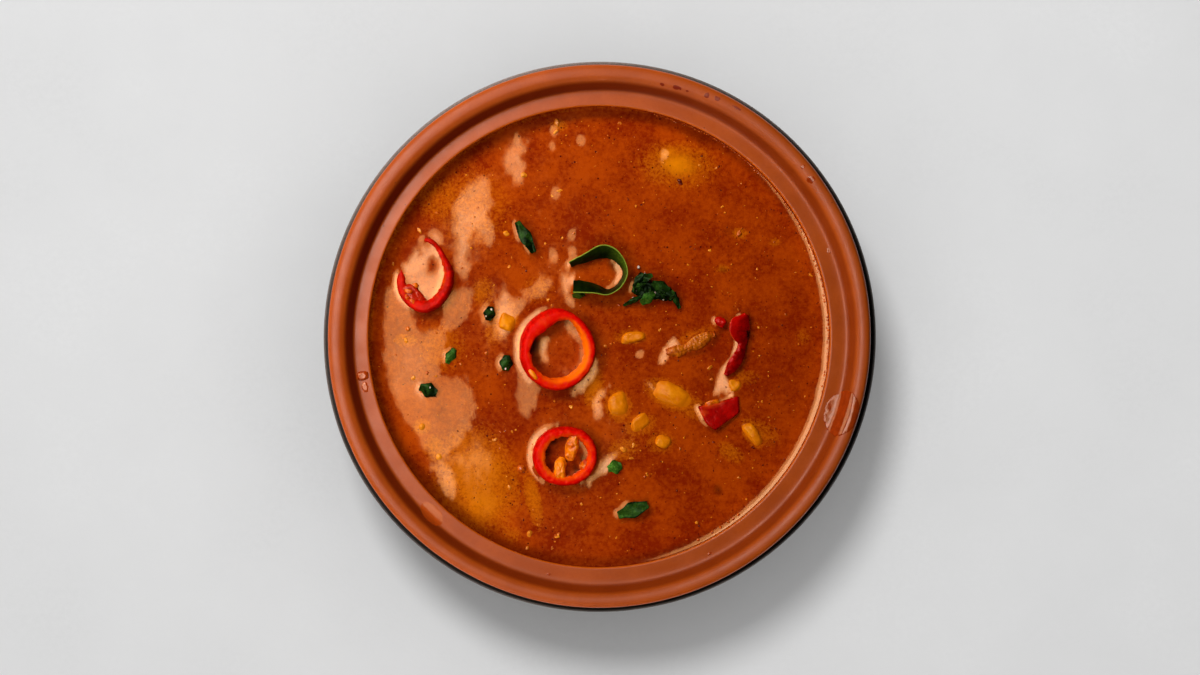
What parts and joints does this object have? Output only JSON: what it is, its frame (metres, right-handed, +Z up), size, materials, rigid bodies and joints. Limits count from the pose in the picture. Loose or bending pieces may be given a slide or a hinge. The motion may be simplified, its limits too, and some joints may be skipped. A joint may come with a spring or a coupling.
{
  "type": "bowl of goulash soup",
  "caption": "Round clay bowl with a rolled rim, filled with thick paprika soup and topped with chilli rings, onion leaf, herb, red pepper, potato and meat.",
  "frame": {"origin": "middle of the plane that the bowl's foot stands on", "axes": "+Z up out of the bowl, +X to the right and +Y away as the soup is seen from above"},
  "size_m": [0.161, 0.161, 0.056],
  "materials": {
    "glazed_clay": "satin",
    "broth": "gloss",
    "red_chilli": "gloss",
    "red_pepper": "gloss",
    "onion_green": "satin",
    "herb_green": "satin",
    "potato": "satin",
    "meat": "satin"
  },
  "bodies": {
    "root": {"bowl": "glazed_clay", "soup": "broth", "chilli_ring_left": "red_chilli", "chilli_ring_centre": "red_chilli", "chilli_ring_lower": "red_chilli", "onion_leaf_curl": "onion_green", "herb_cluster": "herb_green", "herb_leaf_upper": "herb_green", "herb_leaf_lower": "herb_green", "herb_bit_1": "herb_green", "herb_bit_2": "herb_green", "herb_bit_3": "herb_green", "herb_bit_4": "herb_green", "herb_bit_5": "herb_green", "pepper_strip": "red_pepper", "pepper_scrap": "red_pepper", "pepper_square": "red_pepper", "potato_1": "potato", "potato_2": "potato", "potato_3": "potato", "potato_4": "potato", "potato_5": "potato", "potato_6": "potato", "potato_7": "potato", "potato_8": "potato", "meat_shred": "meat"}
  },
  "joints": []
}
